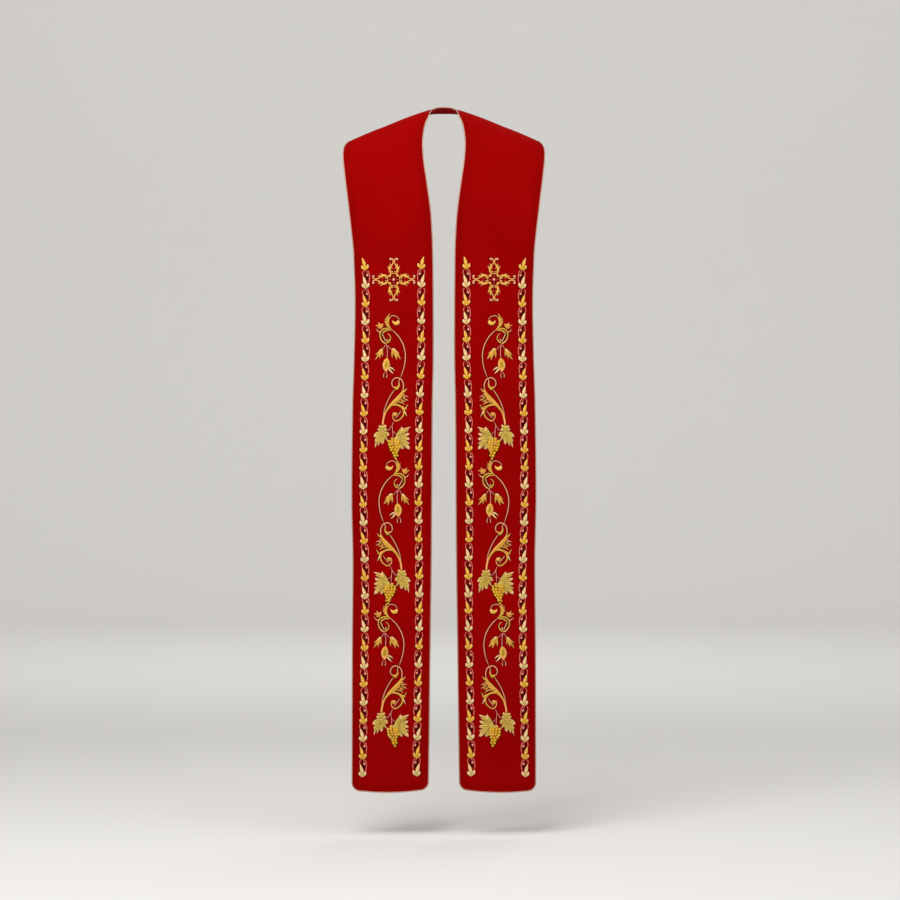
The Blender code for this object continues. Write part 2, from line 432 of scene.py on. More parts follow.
def makeRedCloth(group):
    material, tree, shader = newMaterial("redCloth")
    weave = wire(tree, "ShaderNodeGroup", {"Yarn Pitch": cloth["yarnPitch"]}, node_tree=group).outputs
    tone = times(tree, plus(tree, weave["Cloud"], weave["Slub"]), 0.5)
    brightness = spread(tree, tone, *cloth["toneBand"], 0, 1)
    colour = mixColour(tree, brightness, cloth["deepRed"], cloth["brightRed"])
    # painted shade: the red darkens towards the cloth's edges, as if they turned away from the light
    edgeShade = spread(tree, attribute(tree, "fromEdge"), 0, cloth["edgeShadeWidth"], cloth["paintedEdgeShade"], 1)
    shade = times(tree, spread(tree, weave["Height"], 0.2, 1.0, *cloth["grooves"]), edgeShade)
    smoothest = cloth["roughness"] - cloth["roughnessSpread"]
    roughest = cloth["roughness"] + cloth["roughnessSpread"]
    feed(tree, shader, {
        "Base Color": shaded(tree, colour, shade),
        "Normal": relief(tree, weave["Height"], cloth["reliefStrength"], cloth["weaveRelief"]),
        "Roughness": spread(tree, weave["Slub"], *cloth["slubBand"], smoothest, roughest),
        "Specular IOR Level": cloth["shine"],
        "Sheen Weight": cloth["sheen"],
        "Sheen Roughness": cloth["sheenRoughness"],
        "Sheen Tint": cloth["sheenTint"],
    })
    return material


# thread: colour in the middle of a stroke, colour towards its rim and tip, metallic, roughness
threadColours = {
    "gold": ((0.86, 0.47, 0.035), (1.0, 0.47, 0.15), 0.20, 0.40),
    "antique": ((0.66, 0.335, 0.025), (0.99, 0.44, 0.13), 0.22, 0.40),
    "cross": ((0.79, 0.37, 0.05), (0.98, 0.45, 0.16), 0.20, 0.40),
    "cream": ((0.86, 0.60, 0.24), (1.0, 0.60, 0.35), 0.10, 0.42),
    "sage": ((0.53, 0.41, 0.14), (0.92, 0.52, 0.26), 0.15, 0.42),
    "ochre": ((0.62, 0.35, 0.01), (0.90, 0.41, 0.07), 0.20, 0.42),
    "vine": ((0.58, 0.395, 0.060), (0.97, 0.53, 0.27), 0.18, 0.42),
    "rose": ((0.97, 0.22, 0.16), (1.0, 0.26, 0.20), 0.08, 0.45),
    "rust": ((0.70, 0.28, 0.03), (0.90, 0.40, 0.12), 0.20, 0.42),
    "olive": ((0.38, 0.25, 0.01), (0.46, 0.28, 0.02), 0.20, 0.45),
    "grape": ((0.80, 0.46, 0.02), (0.50, 0.24, 0.01), 0.22, 0.38),
    "stem": ((0.92, 0.34, 0.16), (0.80, 0.21, 0.12), 0.12, 0.45),
    "berry": ((0.92, 0.36, 0.24), (0.78, 0.22, 0.15), 0.08, 0.42),
    "vein": ((0.27, 0.17, 0.01), (0.27, 0.17, 0.01), 0.10, 0.55),
    # painted shadow, not a real thread: the near-black red of the bands round the motifs
    "shadow": ((0.045, 0.0018, 0.0012), (0.070, 0.0016, 0.001), 0.0, 0.80),
}


def makeThread(name, group, middle, rim, metallic, roughness):
    material, tree, shader = newMaterial(name + "Thread")
    stitch = wire(tree, "ShaderNodeGroup", {"Thread Pitch": stitchLook["pitch"]}, node_tree=group).outputs
    towardsRim = spread(tree, attribute(tree, "rim"), *stitchLook["rimBand"], 0, 1)
    colour = mixColour(tree, towardsRim, (*middle, 1), (*rim, 1))
    shade = spread(tree, stitch["Shade"], *stitchLook["shadeBand"], *stitchLook["shades"])
    grooveShade = spread(tree, stitch["Height"], 0, 0.5, *stitchLook["grooves"])
    smoothest = roughness - stitchLook["roughnessSpread"]
    roughest = roughness + stitchLook["roughnessSpread"]
    feed(tree, shader, {
        "Base Color": shaded(tree, colour, times(tree, shade, grooveShade)),
        "Normal": relief(tree, stitch["Height"], stitchLook["reliefStrength"], stitchLook["relief"]),
        "Roughness": spread(tree, stitch["Shade"], *stitchLook["shadeBand"], roughest, smoothest),
        "Metallic": metallic,
        "Specular IOR Level": stitchLook["shadowShine" if name == "shadow" else "shine"],
    })
    return material


cord = {
    "radius": 1.35,
    "overlap": 0.2,         # how far the cord is sewn on to the cloth's edge
    "strands": 3.0,
    "lobe": 0.16,           # how deep the twist's grooves are, as a share of the radius
    "turnLength": 10.0,     # one whole turn of the twist
    "step": 1.0,
    "sides": 9,
    # the crest's colour, then the darker groove colour: painted shade in the twist's grooves
    "crest": (0.72, 0.36, 0.27),
    "grooveShade": (0.32, 0.13, 0.08),
    "crestShare": 0.8,
    "glintShare": 0.4,
    "glintScale": 900.0,
    "glintBand": (0.3, 0.7),
    "relief": 0.1,
    "reliefStrength": 0.5,
    "roughness": (0.34, 0.48),
    "metallic": 0.35,
}


def makeCordGold():
    material, tree, shader = newMaterial("twistedGold")
    glint = objectNoise(tree, cord["glintScale"], 2.0)
    # painted shade: the colour runs from the dark grooves of the twist up to its crests
    height = spread(tree, attribute(tree, "crest"), -1, 1, 0, cord["crestShare"])
    tone = plus(tree, height, times(tree, glint, cord["glintShare"]))
    feed(tree, shader, {
        "Base Color": mixColour(tree, tone, (*cord["grooveShade"], 1), (*cord["crest"], 1)),
        "Normal": relief(tree, glint, cord["reliefStrength"], cord["relief"]),
        "Roughness": spread(tree, glint, *cord["glintBand"], *cord["roughness"]),
        "Metallic": cord["metallic"],
    })
    return material


shell = {
    "columns": 40,
    "evenness": 0.12,      # the lower, the more the columns crowd towards both edges
    "hangingRows": 160,
    "leaningRows": 64,
    "backRows": 38,
    "cornerRows": 9,
    "thickness": 1.8,
    "rounding": 0.5,       # of the cloth's cut edge
    "roundingFrom": 50,    # degrees between two faces
}


def clothRows():
    even = shell["evenness"]
    columns = []
    for k in range(shell["columns"] + 1):
        turn = math.pi * (even + (1 - 2 * even) * k / shell["columns"])
        columns.append(0.5 - 0.5 * math.cos(turn) / math.cos(math.pi * even))
    radius = form["hemCorner"] - form["inset"]
    cornerTop = form["hemDrop"] - form["hemCorner"]
    corner = shell["cornerRows"]
    drops = [cornerTop + radius * math.cos(math.radians(90 * k / corner)) for k in range(corner + 1)]
    count = shell["hangingRows"]
    drops += [mix(cornerTop, form["chestDrop"], k / count) for k in range(1, count)]
    rows = [[hangingPoint(drop, a) for a in columns] for drop in drops]
    count = shell["leaningRows"]
    rows += [[leaningPoint(90 * (1 - k / count), a) for a in columns] for k in range(count + 1)]
    count = shell["backRows"]
    rows += [[backPoint(k / count, a) for a in columns] for k in range(1, count + 1)]
    return rows, columns


def alongRows(rows):
    # how far up the strip each row is, from the hem
    middle = len(rows[0]) // 2
    result = [0.0]
    for low, high in zip(rows, rows[1:]):
        result.append(result[-1] + (high[middle] - low[middle]).length)
    return result


def creasedRows(rows, columns):
    alongs = alongRows(rows)
    result = []
    for i, row in enumerate(rows):
        below, above = rows[max(0, i - 1)], rows[min(len(rows) - 1, i + 1)]
        newRow = []
        for j, point in enumerate(row):
            left, right = row[max(0, j - 1)], row[min(len(row) - 1, j + 1)]
            normal = (right - left).cross(above[j] - below[j]).normalized()
            moved = point - normal * creaseDepth(alongs[i], columns[j])
            if i == len(rows) - 1:
                moved.x = form["seamHalfGap"]
            newRow.append(moved)
        result.append(newRow)
    return result


def makeCloth(name, sign, rows, columns):
    alongs = alongRows(rows)
    build = bmesh.new()
    uvLayer = build.loops.layers.uv.new("cut")
    edgeLayer = build.verts.layers.float.new("fromEdge")
    grid = [[build.verts.new((sign * p.x * mm, p.y * mm, p.z * mm)) for p in row] for row in rows]
    place = {}
    for i, row in enumerate(grid):
        width = (rows[i][-1] - rows[i][0]).length
        for j, vert in enumerate(row):
            place[vert] = ((columns[j] - 0.5) * width, alongs[i])
            vert[edgeLayer] = min(min(columns[j], 1 - columns[j]) * width, alongs[i])
    for low, high in zip(grid, grid[1:]):
        for k in range(len(low) - 1):
            corners = (low[k], low[k + 1], high[k + 1], high[k])
            face = build.faces.new(corners if sign > 0 else corners[::-1])
            face.smooth = True
            for loop in face.loops:
                loop[uvLayer].uv = place[loop.vert]
    mesh = bpy.data.meshes.new(name)
    build.to_mesh(mesh)
    build.free()
    mesh.materials.append(redCloth)
    piece = linkPiece(bpy.data.objects.new(name, mesh))
    wall = piece.modifiers.new("wall", "SOLIDIFY")
    wall.thickness = shell["thickness"] * mm
    wall.offset = 0
    edge = piece.modifiers.new("edge", "BEVEL")
    edge.width = shell["rounding"] * mm
    edge.segments = 2
    edge.limit_method = "ANGLE"
    edge.angle_limit = math.radians(shell["roundingFrom"])
    return piece


def cordPath(rows):
    # the cloth's edge from the seam down the neck side, round the hem and back up, moved
    # out in the cloth's own plane; each edge point goes with one further inside the cloth
    aboveCorners = rows[shell["cornerRows"]]
    insides = [aboveCorners] * shell["cornerRows"] + rows[shell["cornerRows"]:]
    loop = [(row[0], inside[1]) for row, inside in zip(rows, insides)][::-1]
    loop += [(rows[0][k], aboveCorners[k]) for k in range(1, len(aboveCorners) - 1)]
    loop += [(row[-1], inside[-2]) for row, inside in zip(rows, insides)]
    path = []
    for k, (point, inside) in enumerate(loop):
        along = (loop[min(len(loop) - 1, k + 1)][0] - loop[max(0, k - 1)][0]).normalized()
        inward = inside - point
        inward -= along * inward.dot(along)
        path.append(point - inward.normalized() * (cord["radius"] - cord["overlap"]))
    for end, after in ((0, 1), (-1, -2)):
        path[end].x = form["seamHalfGap"]
        path[end].z = path[after].z
    return path


def setInputs(modifier, values):
    for item in modifier.node_group.interface.items_tree:
        if item.item_type == "SOCKET" and item.in_out == "INPUT" and item.name in values:
            modifier[item.identifier] = values[item.name]


def lineObject(name, points):
    curve = bpy.data.curves.new(name, "CURVE")
    curve.dimensions = "3D"
    line = curve.splines.new("POLY")
    line.points.add(len(points) - 1)
    for slot, point in zip(line.points, points):
        slot.co = (*[c * mm for c in point], 1)
    return linkPiece(bpy.data.objects.new(name, curve))


def bakedMesh(holder, name):
    bpy.context.view_layer.update()
    graph = bpy.context.evaluated_depsgraph_get()
    source = holder.evaluated_get(graph)
    mesh = bpy.data.meshes.new_from_object(source, preserve_all_data_layers=True, depsgraph=graph)
    mesh.name = name
    return mesh


def dressed(tree, geometry, material):
    # instances made real and given their material
    real = wire(tree, "GeometryNodeRealizeInstances", {0: geometry}).outputs[0]
    return wire(tree, "GeometryNodeSetMaterial", {"Geometry": real, "Material": material}).outputs[0]


def cordTree():
    # a twisted cord along a line: the section's lobes turn as the line goes on
    tree = bpy.data.node_groups.new("twistedCord", "GeometryNodeTree")
    addSocket(tree, "Line", "Geometry")
    for name, value in (("Step", 0.001), ("Radius", 0.00135), ("Turn Length", 0.01),
                        ("Strands", 3.0), ("Lobe", 0.16)):
        addSocket(tree, name, "Float", value)
    addSocket(tree, "Sides", "Int", 9)
    addSocket(tree, "Thread", "Material")
    addSocket(tree, "Cord", "Geometry", way="OUTPUT")
    given = wire(tree, "NodeGroupInput").outputs
    feeds = {"Curve": given["Line"], "Length": given["Step"]}
    line = wire(tree, "GeometryNodeResampleCurve", feeds, mode="LENGTH").outputs[0]
    length = wire(tree, "GeometryNodeSplineParameter").outputs["Length"]
    turn = times(tree, maths(tree, "DIVIDE", length, given["Turn Length"]), 2 * math.pi)
    twisted = wire(tree, "GeometryNodeSetCurveTilt", {"Curve": line, "Tilt": turn}).outputs[0]
    feeds = {"Resolution": given["Sides"], "Radius": given["Radius"]}
    ring = wire(tree, "GeometryNodeCurvePrimitiveCircle", feeds).outputs[0]
    share = maths(tree, "DIVIDE", wire(tree, "GeometryNodeInputIndex").outputs[0], given["Sides"])
    crest = maths(tree, "COSINE", times(tree, times(tree, share, given["Strands"]), 2 * math.pi))
    grow = plus(tree, times(tree, crest, given["Lobe"]), maths(tree, "SUBTRACT", 1.0, given["Lobe"]))
    feeds = {"Geometry": ring, "Name": "crest", "Value": crest}
    marked = wire(tree, "GeometryNodeStoreNamedAttribute", feeds, data_type="FLOAT", domain="POINT")
    spot = wire(tree, "GeometryNodeInputPosition").outputs[0]
    grown = wire(tree, "ShaderNodeVectorMath", {0: spot, "Scale": grow}, operation="SCALE").outputs[0]
    lobed = wire(tree, "GeometryNodeSetPosition", {"Geometry": marked.outputs[0], "Position": grown})
    feeds = {"Curve": twisted, "Profile Curve": lobed.outputs[0], "Fill Caps": True}
    tube = wire(tree, "GeometryNodeCurveToMesh", feeds).outputs[0]
    wire(tree, "NodeGroupOutput", {0: dressed(tree, tube, given["Thread"])})
    return tree


def makeCord(name, sign, path, tree, material):
    holder = lineObject(name + "Line", [(sign * p.x, p.y, p.z) for p in path])
    twist = holder.modifiers.new("twist", "NODES")
    twist.node_group = tree
    setInputs(twist, {
        "Step": cord["step"] * mm,
        "Radius": cord["radius"] * mm,
        "Turn Length": cord["turnLength"] * mm,
        "Strands": cord["strands"],
        "Lobe": cord["lobe"],
        "Sides": cord["sides"],
        "Thread": material,
    })
    mesh = bakedMesh(holder, name)
    bpy.data.objects.remove(holder)
    mesh.shade_smooth()
    return linkPiece(bpy.data.objects.new(name, mesh))


stitching = {
    "sink": 0.25,           # how far a stroke's foot goes into the cloth
    "rise": 0.5,            # how high a stroke stands for its half width
    "leastRise": 0.15,
    "leastHalf": 0.06,
    "fullness": 0.6,        # the lower, the squarer a stroke's section
    "tallest": 1.5,
    "tipFrom": 0.55,        # share of a stroke past which it takes on the rim's colour
    "tipReach": 0.45,
    "ringGap": 1.1,         # between the rings of the thinnest strokes
    "ringGapRise": 0.45,    # added to the gap for each mm of half width
    "fewestRings": 6,
    "mostRings": 60,
    "lineSteps": 8,         # from one given point to the next
    "broadFrom": 2.4,       # half width from which a stroke is broad
    "thinUnder": 1.0,       # and under which a short one is thin
    "shortUnder": 9,        # rings
    "shadowWidth": 1.9,     # painted shadow: a dark band round each motif, where shade would fall
    "shadowHeight": 0.3,
    "berrySides": 9,
    "berryRise": 0.62,
    "berryTallest": 2.0,
}

# points across a stroke, from rim to rim
profiles = {
    "thin": (-1.0, -0.55, 0.55, 1.0),
    "narrow": (-1.0, -0.62, 0.0, 0.62, 1.0),
    "broad": (-1.0, -0.82, -0.42, 0.0, 0.42, 0.82, 1.0),
    "shadow": (-1.0, -0.85, 0.85, 1.0),
}

# rings of a berry: share of its radius, share of its height; the first is its foot in the cloth
berryRings = ((1.0, 0.0), (0.86, 0.5), (0.5, 0.87))

# how a stroke's half width runs from its start to its end
widthShapes = {
    "stem": lambda t: min(1.0, 0.35 + 7 * t, 0.35 + 7 * (1 - t)),
    "whip": lambda t: min(1.0, 0.4 + 6 * t) * (1 - 0.7 * t),
    "petal": lambda t: math.sin(math.pi * t ** 0.62) ** 0.85,
    "lobe": lambda t: math.sin(math.pi * t ** 1.3) ** 0.6,
    "lens": lambda t: math.sin(math.pi * t) ** 0.75,
    "plume": lambda t: min(1.0, 0.3 + 3.2 * t) * (1 - 0.62 * smooth((t - 0.15) / 0.55)),
    "lyre": lambda t: 0.44 + 0.56 * bell((t - 0.40) / 0.18),
}


def newWork():
    return {"verts": [], "faces": [], "stitch": [], "rim": [], "slots": [], "place": lambda x, z: (x, z)}


def ringPlaces(count, rounded):
    # shares of a stroke's length, closer together near the ends where it is to look round
    even = [n / (count - 1) for n in range(count)]
    return [(1 - math.cos(math.pi * t)) / 2 for t in even] if rounded else even


def smoothLine(points, places):
    # a soft curve through the given points, cut at shares of its length
    points = [Vector(p) for p in points]
    ends = [2 * points[0] - points[1]] + points + [2 * points[-1] - points[-2]]
    fine = []
    for k in range(len(points) - 1):
        a, b, c, d = ends[k:k + 4]
        for s in range(stitching["lineSteps"]):
            t = s / stitching["lineSteps"]
            fine.append(0.5 * ((2 * b) + (c - a) * t + (2 * a - 5 * b + 4 * c - d) * t * t
                               + (3 * b - a - 3 * c + d) * t * t * t))
    fine.append(points[-1])
    lengths = [0.0]
    for before, after in zip(fine, fine[1:]):
        lengths.append(lengths[-1] + (after - before).length)
    result, k = [], 0
    for place in places:
        want = lengths[-1] * place
        while k < len(fine) - 2 and lengths[k + 1] < want:
            k += 1
        gap = max(1e-9, lengths[k + 1] - lengths[k])
        result.append(fine[k].lerp(fine[k + 1], min(1.0, (want - lengths[k]) / gap)))
    return result, lengths[-1]


def sweepRings(work, line, places, length, half, shape, slot, height, base, profile, sideRim=1.0):
    first = len(work["verts"])
    count, across = len(line), len(profile)
    for i, point in enumerate(line):
        t = places[i]
        along = (line[min(count - 1, i + 1)] - line[max(0, i - 1)]).normalized()
        out = Vector((along.y, -along.x))
        wide = max(stitching["leastHalf"], half * widthShapes[shape](t))
        rise = min(height, stitching["rise"] * wide + stitching["leastRise"])
        tip = smooth((t - stitching["tipFrom"]) / stitching["tipReach"])
        for u in profile:
            spot = point + out * u * wide
            lift = base + rise * max(0.0, 1 - u * u) ** stitching["fullness"]
            if abs(u) == 1:
                lift = min(0.0, base) - stitching["sink"]
            work["verts"].append((spot.x, -lift, spot.y))
            work["stitch"].append((u * wide, t * length))
            work["rim"].append(max(sideRim * u * u, tip))
    for i in range(count - 1):
        for j in range(across):
            a, b = first + i * across, first + (i + 1) * across
            k = (j + 1) % across
            work["faces"].append((a + j, a + k, b + k, b + j))
    last = first + (count - 1) * across
    work["faces"].append(tuple(range(first + across - 1, first - 1, -1)))
    work["faces"].append(tuple(range(last, last + across)))
    work["slots"] += [slot] * ((count - 1) * across + 2)


def strokeLine(work, path, half, rings=None):
    placed = [work["place"](x, z) for x, z in path]
    count = rings
    if not rings:
        rough = sum((Vector(b) - Vector(a)).length for a, b in zip(placed, placed[1:]))
        count = int(rough / (stitching["ringGap"] + stitching["ringGapRise"] * half)) + 3
        count = max(stitching["fewestRings"], min(stitching["mostRings"], count))
    places = ringPlaces(count, bool(rings))
    line, length = smoothLine(placed, places)
    return line, places, length


# painted shadow: a flat near-black strip, wider than the stroke, laid under it as the shade round a motif
def addShadow(work, path, half, shape, rings=None):
    line, places, length = strokeLine(work, path, half, rings)
    sweepRings(work, line, places, length, half + stitching["shadowWidth"], shape, "shadow",
               stitching["shadowHeight"], 0.0, profiles["shadow"])


def addStroke(work, path, half, shape, slot, base=0.0, rings=None, shadow=True, sideRim=1.0):
    line, places, length = strokeLine(work, path, half, rings)
    profile = profiles["narrow" if half < stitching["broadFrom"] else "broad"]
    if len(line) < stitching["shortUnder"]:
        profile = profiles["thin" if half < stitching["thinUnder"] else "narrow"]
    sweepRings(work, line, places, length, half, shape, slot, stitching["tallest"], base, profile, sideRim)
    if shadow:
        addShadow(work, path, half, shape, rings)


def addBerry(work, x, z, radius, slot, base=0.0, shadow=True):
    centre = Vector(work["place"](x, z))
    sides = stitching["berrySides"]
    layers = [(radius, min(stitching["berryTallest"], stitching["berryRise"] * radius), base, slot)]
    if shadow:
        # painted shadow round the berry
        layers.insert(0, (radius + stitching["shadowWidth"], stitching["shadowHeight"], 0.0, "shadow"))
    for size, height, foot, use in layers:
        first = len(work["verts"])
        for ring, share in berryRings:
            depth = foot + share * height if share else -stitching["sink"]
            for k in range(sides):
                turn = 2 * math.pi * k / sides
                out = Vector((math.cos(turn), math.sin(turn))) * size * ring
                work["verts"].append((centre.x + out.x, -depth, centre.y + out.y))
                work["stitch"].append(tuple(out))
                work["rim"].append(ring * ring)
        work["verts"].append((centre.x, -(foot + height), centre.y))
        work["stitch"].append((0.0, 0.0))
        work["rim"].append(0.0)
        inmost = first + sides * (len(berryRings) - 1)
        for start in range(first, inmost, sides):
            for k in range(sides):
                a, b = start + k, start + (k + 1) % sides
                work["faces"].append((a, b, b + sides, a + sides))
        for k in range(sides):
            work["faces"].append((inmost + k, inmost + (k + 1) % sides, inmost + sides))
        work["faces"].append(tuple(range(first + sides - 1, first - 1, -1)))
        work["slots"] += [use] * (sides * len(berryRings) + 1)


def addKnots(work, knots):
    for slot, x, z, radius, base in knots:
        addBerry(work, x, z, radius, slot, base)


def workMesh(name, work, mirrored=False):
    mesh = bpy.data.meshes.new(name)
    flip = -1 if mirrored else 1
    faces = [face[::-1] for face in work["faces"]] if mirrored else work["faces"]
    mesh.from_pydata([(flip * x * mm, y * mm, z * mm) for x, y, z in work["verts"]], [], faces)
    used = sorted(set(work["slots"]))
    for slot in used:
        mesh.materials.append(threads[slot])
    mesh.polygons.foreach_set("material_index", [used.index(slot) for slot in work["slots"]])
    mesh.shade_smooth()
    layer = mesh.uv_layers.new(name="stitch")
    for loop in mesh.loops:
        layer.data[loop.index].uv = work["stitch"][loop.vertex_index]
    mesh.attributes.new("rim", "FLOAT", "POINT").data.foreach_set("value", work["rim"])
    return mesh


# the middle of the embroidery on each front sways a little: drop, place from the middle
panelMiddle = (
    (369, 98.0), (510, 99.1), (650, 99.9), (790, 102.7), (930, 102.3), (1070, 101.9), (1281, 102.6),
)


def panelAxis(z):
    return readTable(panelMiddle, 1, -z)


def frontY(x, z):
    drop = -z
    inner, outer = readTable(form["hanging"], 1, drop), readTable(form["hanging"], 2, drop)
    across = (x - inner - form["inset"]) / (outer - inner - 2 * form["inset"])
    along = z + form["hemDrop"] - form["inset"] + form["hemBow"] * (1 - form["hemBowShift"] ** 2)
    return hangingY(drop, across) + creaseDepth(along, across) - shell["thickness"] / 2


def layOnCloth(mesh):
    # moves flat thread work back on to the front it belongs to
    for vert in mesh.vertices:
        vert.co.y += frontY(abs(vert.co.x) / mm, vert.co.z / mm) * mm


def addThreadPieces(name, work):
    # drawn for the wearer's right front, then mirrored for the left one
    made = {}
    for word, mirrored in (("right", False), ("left", True)):
        mesh = workMesh(name + "_" + word, work, mirrored)
        layOnCloth(mesh)
        made[word] = linkPiece(bpy.data.objects.new(name + "_" + word, mesh))
    return made


cross = {"height": -354.1, "size": 1.025}

# one half of one arm, pointing up: half width, way of tapering, then the line it follows
crossStrokes = (
    (2.4, "lyre", ((0.2, 12.0), (4.4, 11.7), (7.5, 14.0), (8.0, 18.6), (6.6, 23.4), (3.4, 28.0), (1.4, 31.6),
                   (1.0, 35.2), (2.4, 39.0), (5.0, 40.5))),
    (1.6, "petal", ((7.6, 17.0), (9.6, 21.6), (11.7, 26.6))),
    (1.5, "petal", ((5.8, 21.5), (6.9, 26.4), (6.9, 31.4))),
    (1.2, "petal", ((6.4, 21.2), (4.2, 21.9), (1.7, 21.2))),
    (0.9, "stem", ((6.0, 18.2), (5.6, 15.6), (3.6, 14.0))),
    (1.2, "stem", ((4.4, 10.8), (6.4, 9.2), (7.4, 7.4))),
)
crossStamen = ((0.5, "whip", ((0, 4.6), (0, 7.2), (0, 9.8))),)

# round knots: thread, place, radius, height
halfArmKnots = (("cross", 2.7, 14.9, 1.6, 0.3), ("berry", 6.2, 38.9, 2.9, 0.2))
armKnots = (("gold", 7.5, 7.3, 2.8, 0.4),)
middleKnots = (("berry", 0, 0, 3.3, 0.2),)


def makeCross():
    work = newWork()
    middle = (-panelAxis(cross["height"]), cross["height"])

    def armPlace(quarter, flip):
        turn = math.radians(90 * quarter)

        def place(x, z):
            x, z = flip * x * cross["size"], z * cross["size"]
            return (middle[0] + x * math.cos(turn) - z * math.sin(turn),
                    middle[1] + x * math.sin(turn) + z * math.cos(turn))
        return place

    for quarter in range(4):
        for flip in (1, -1):
            work["place"] = armPlace(quarter, flip)
            for half, shape, path in crossStrokes:
                addStroke(work, path, half, shape, "cross")
            addKnots(work, halfArmKnots)
        addKnots(work, armKnots)
        for half, shape, path in crossStamen:
            addStroke(work, path, half, shape, "rose")
    addKnots(work, middleKnots)
    return addThreadPieces("cross", work)


scroll = {
    "tops": (-421.8, -705.2, -984.8),    # where each of the three repeats begins
    "stretch": (1.0, 0.997, 0.990),      # and how much of its full height it has
    "seed": 11,
}

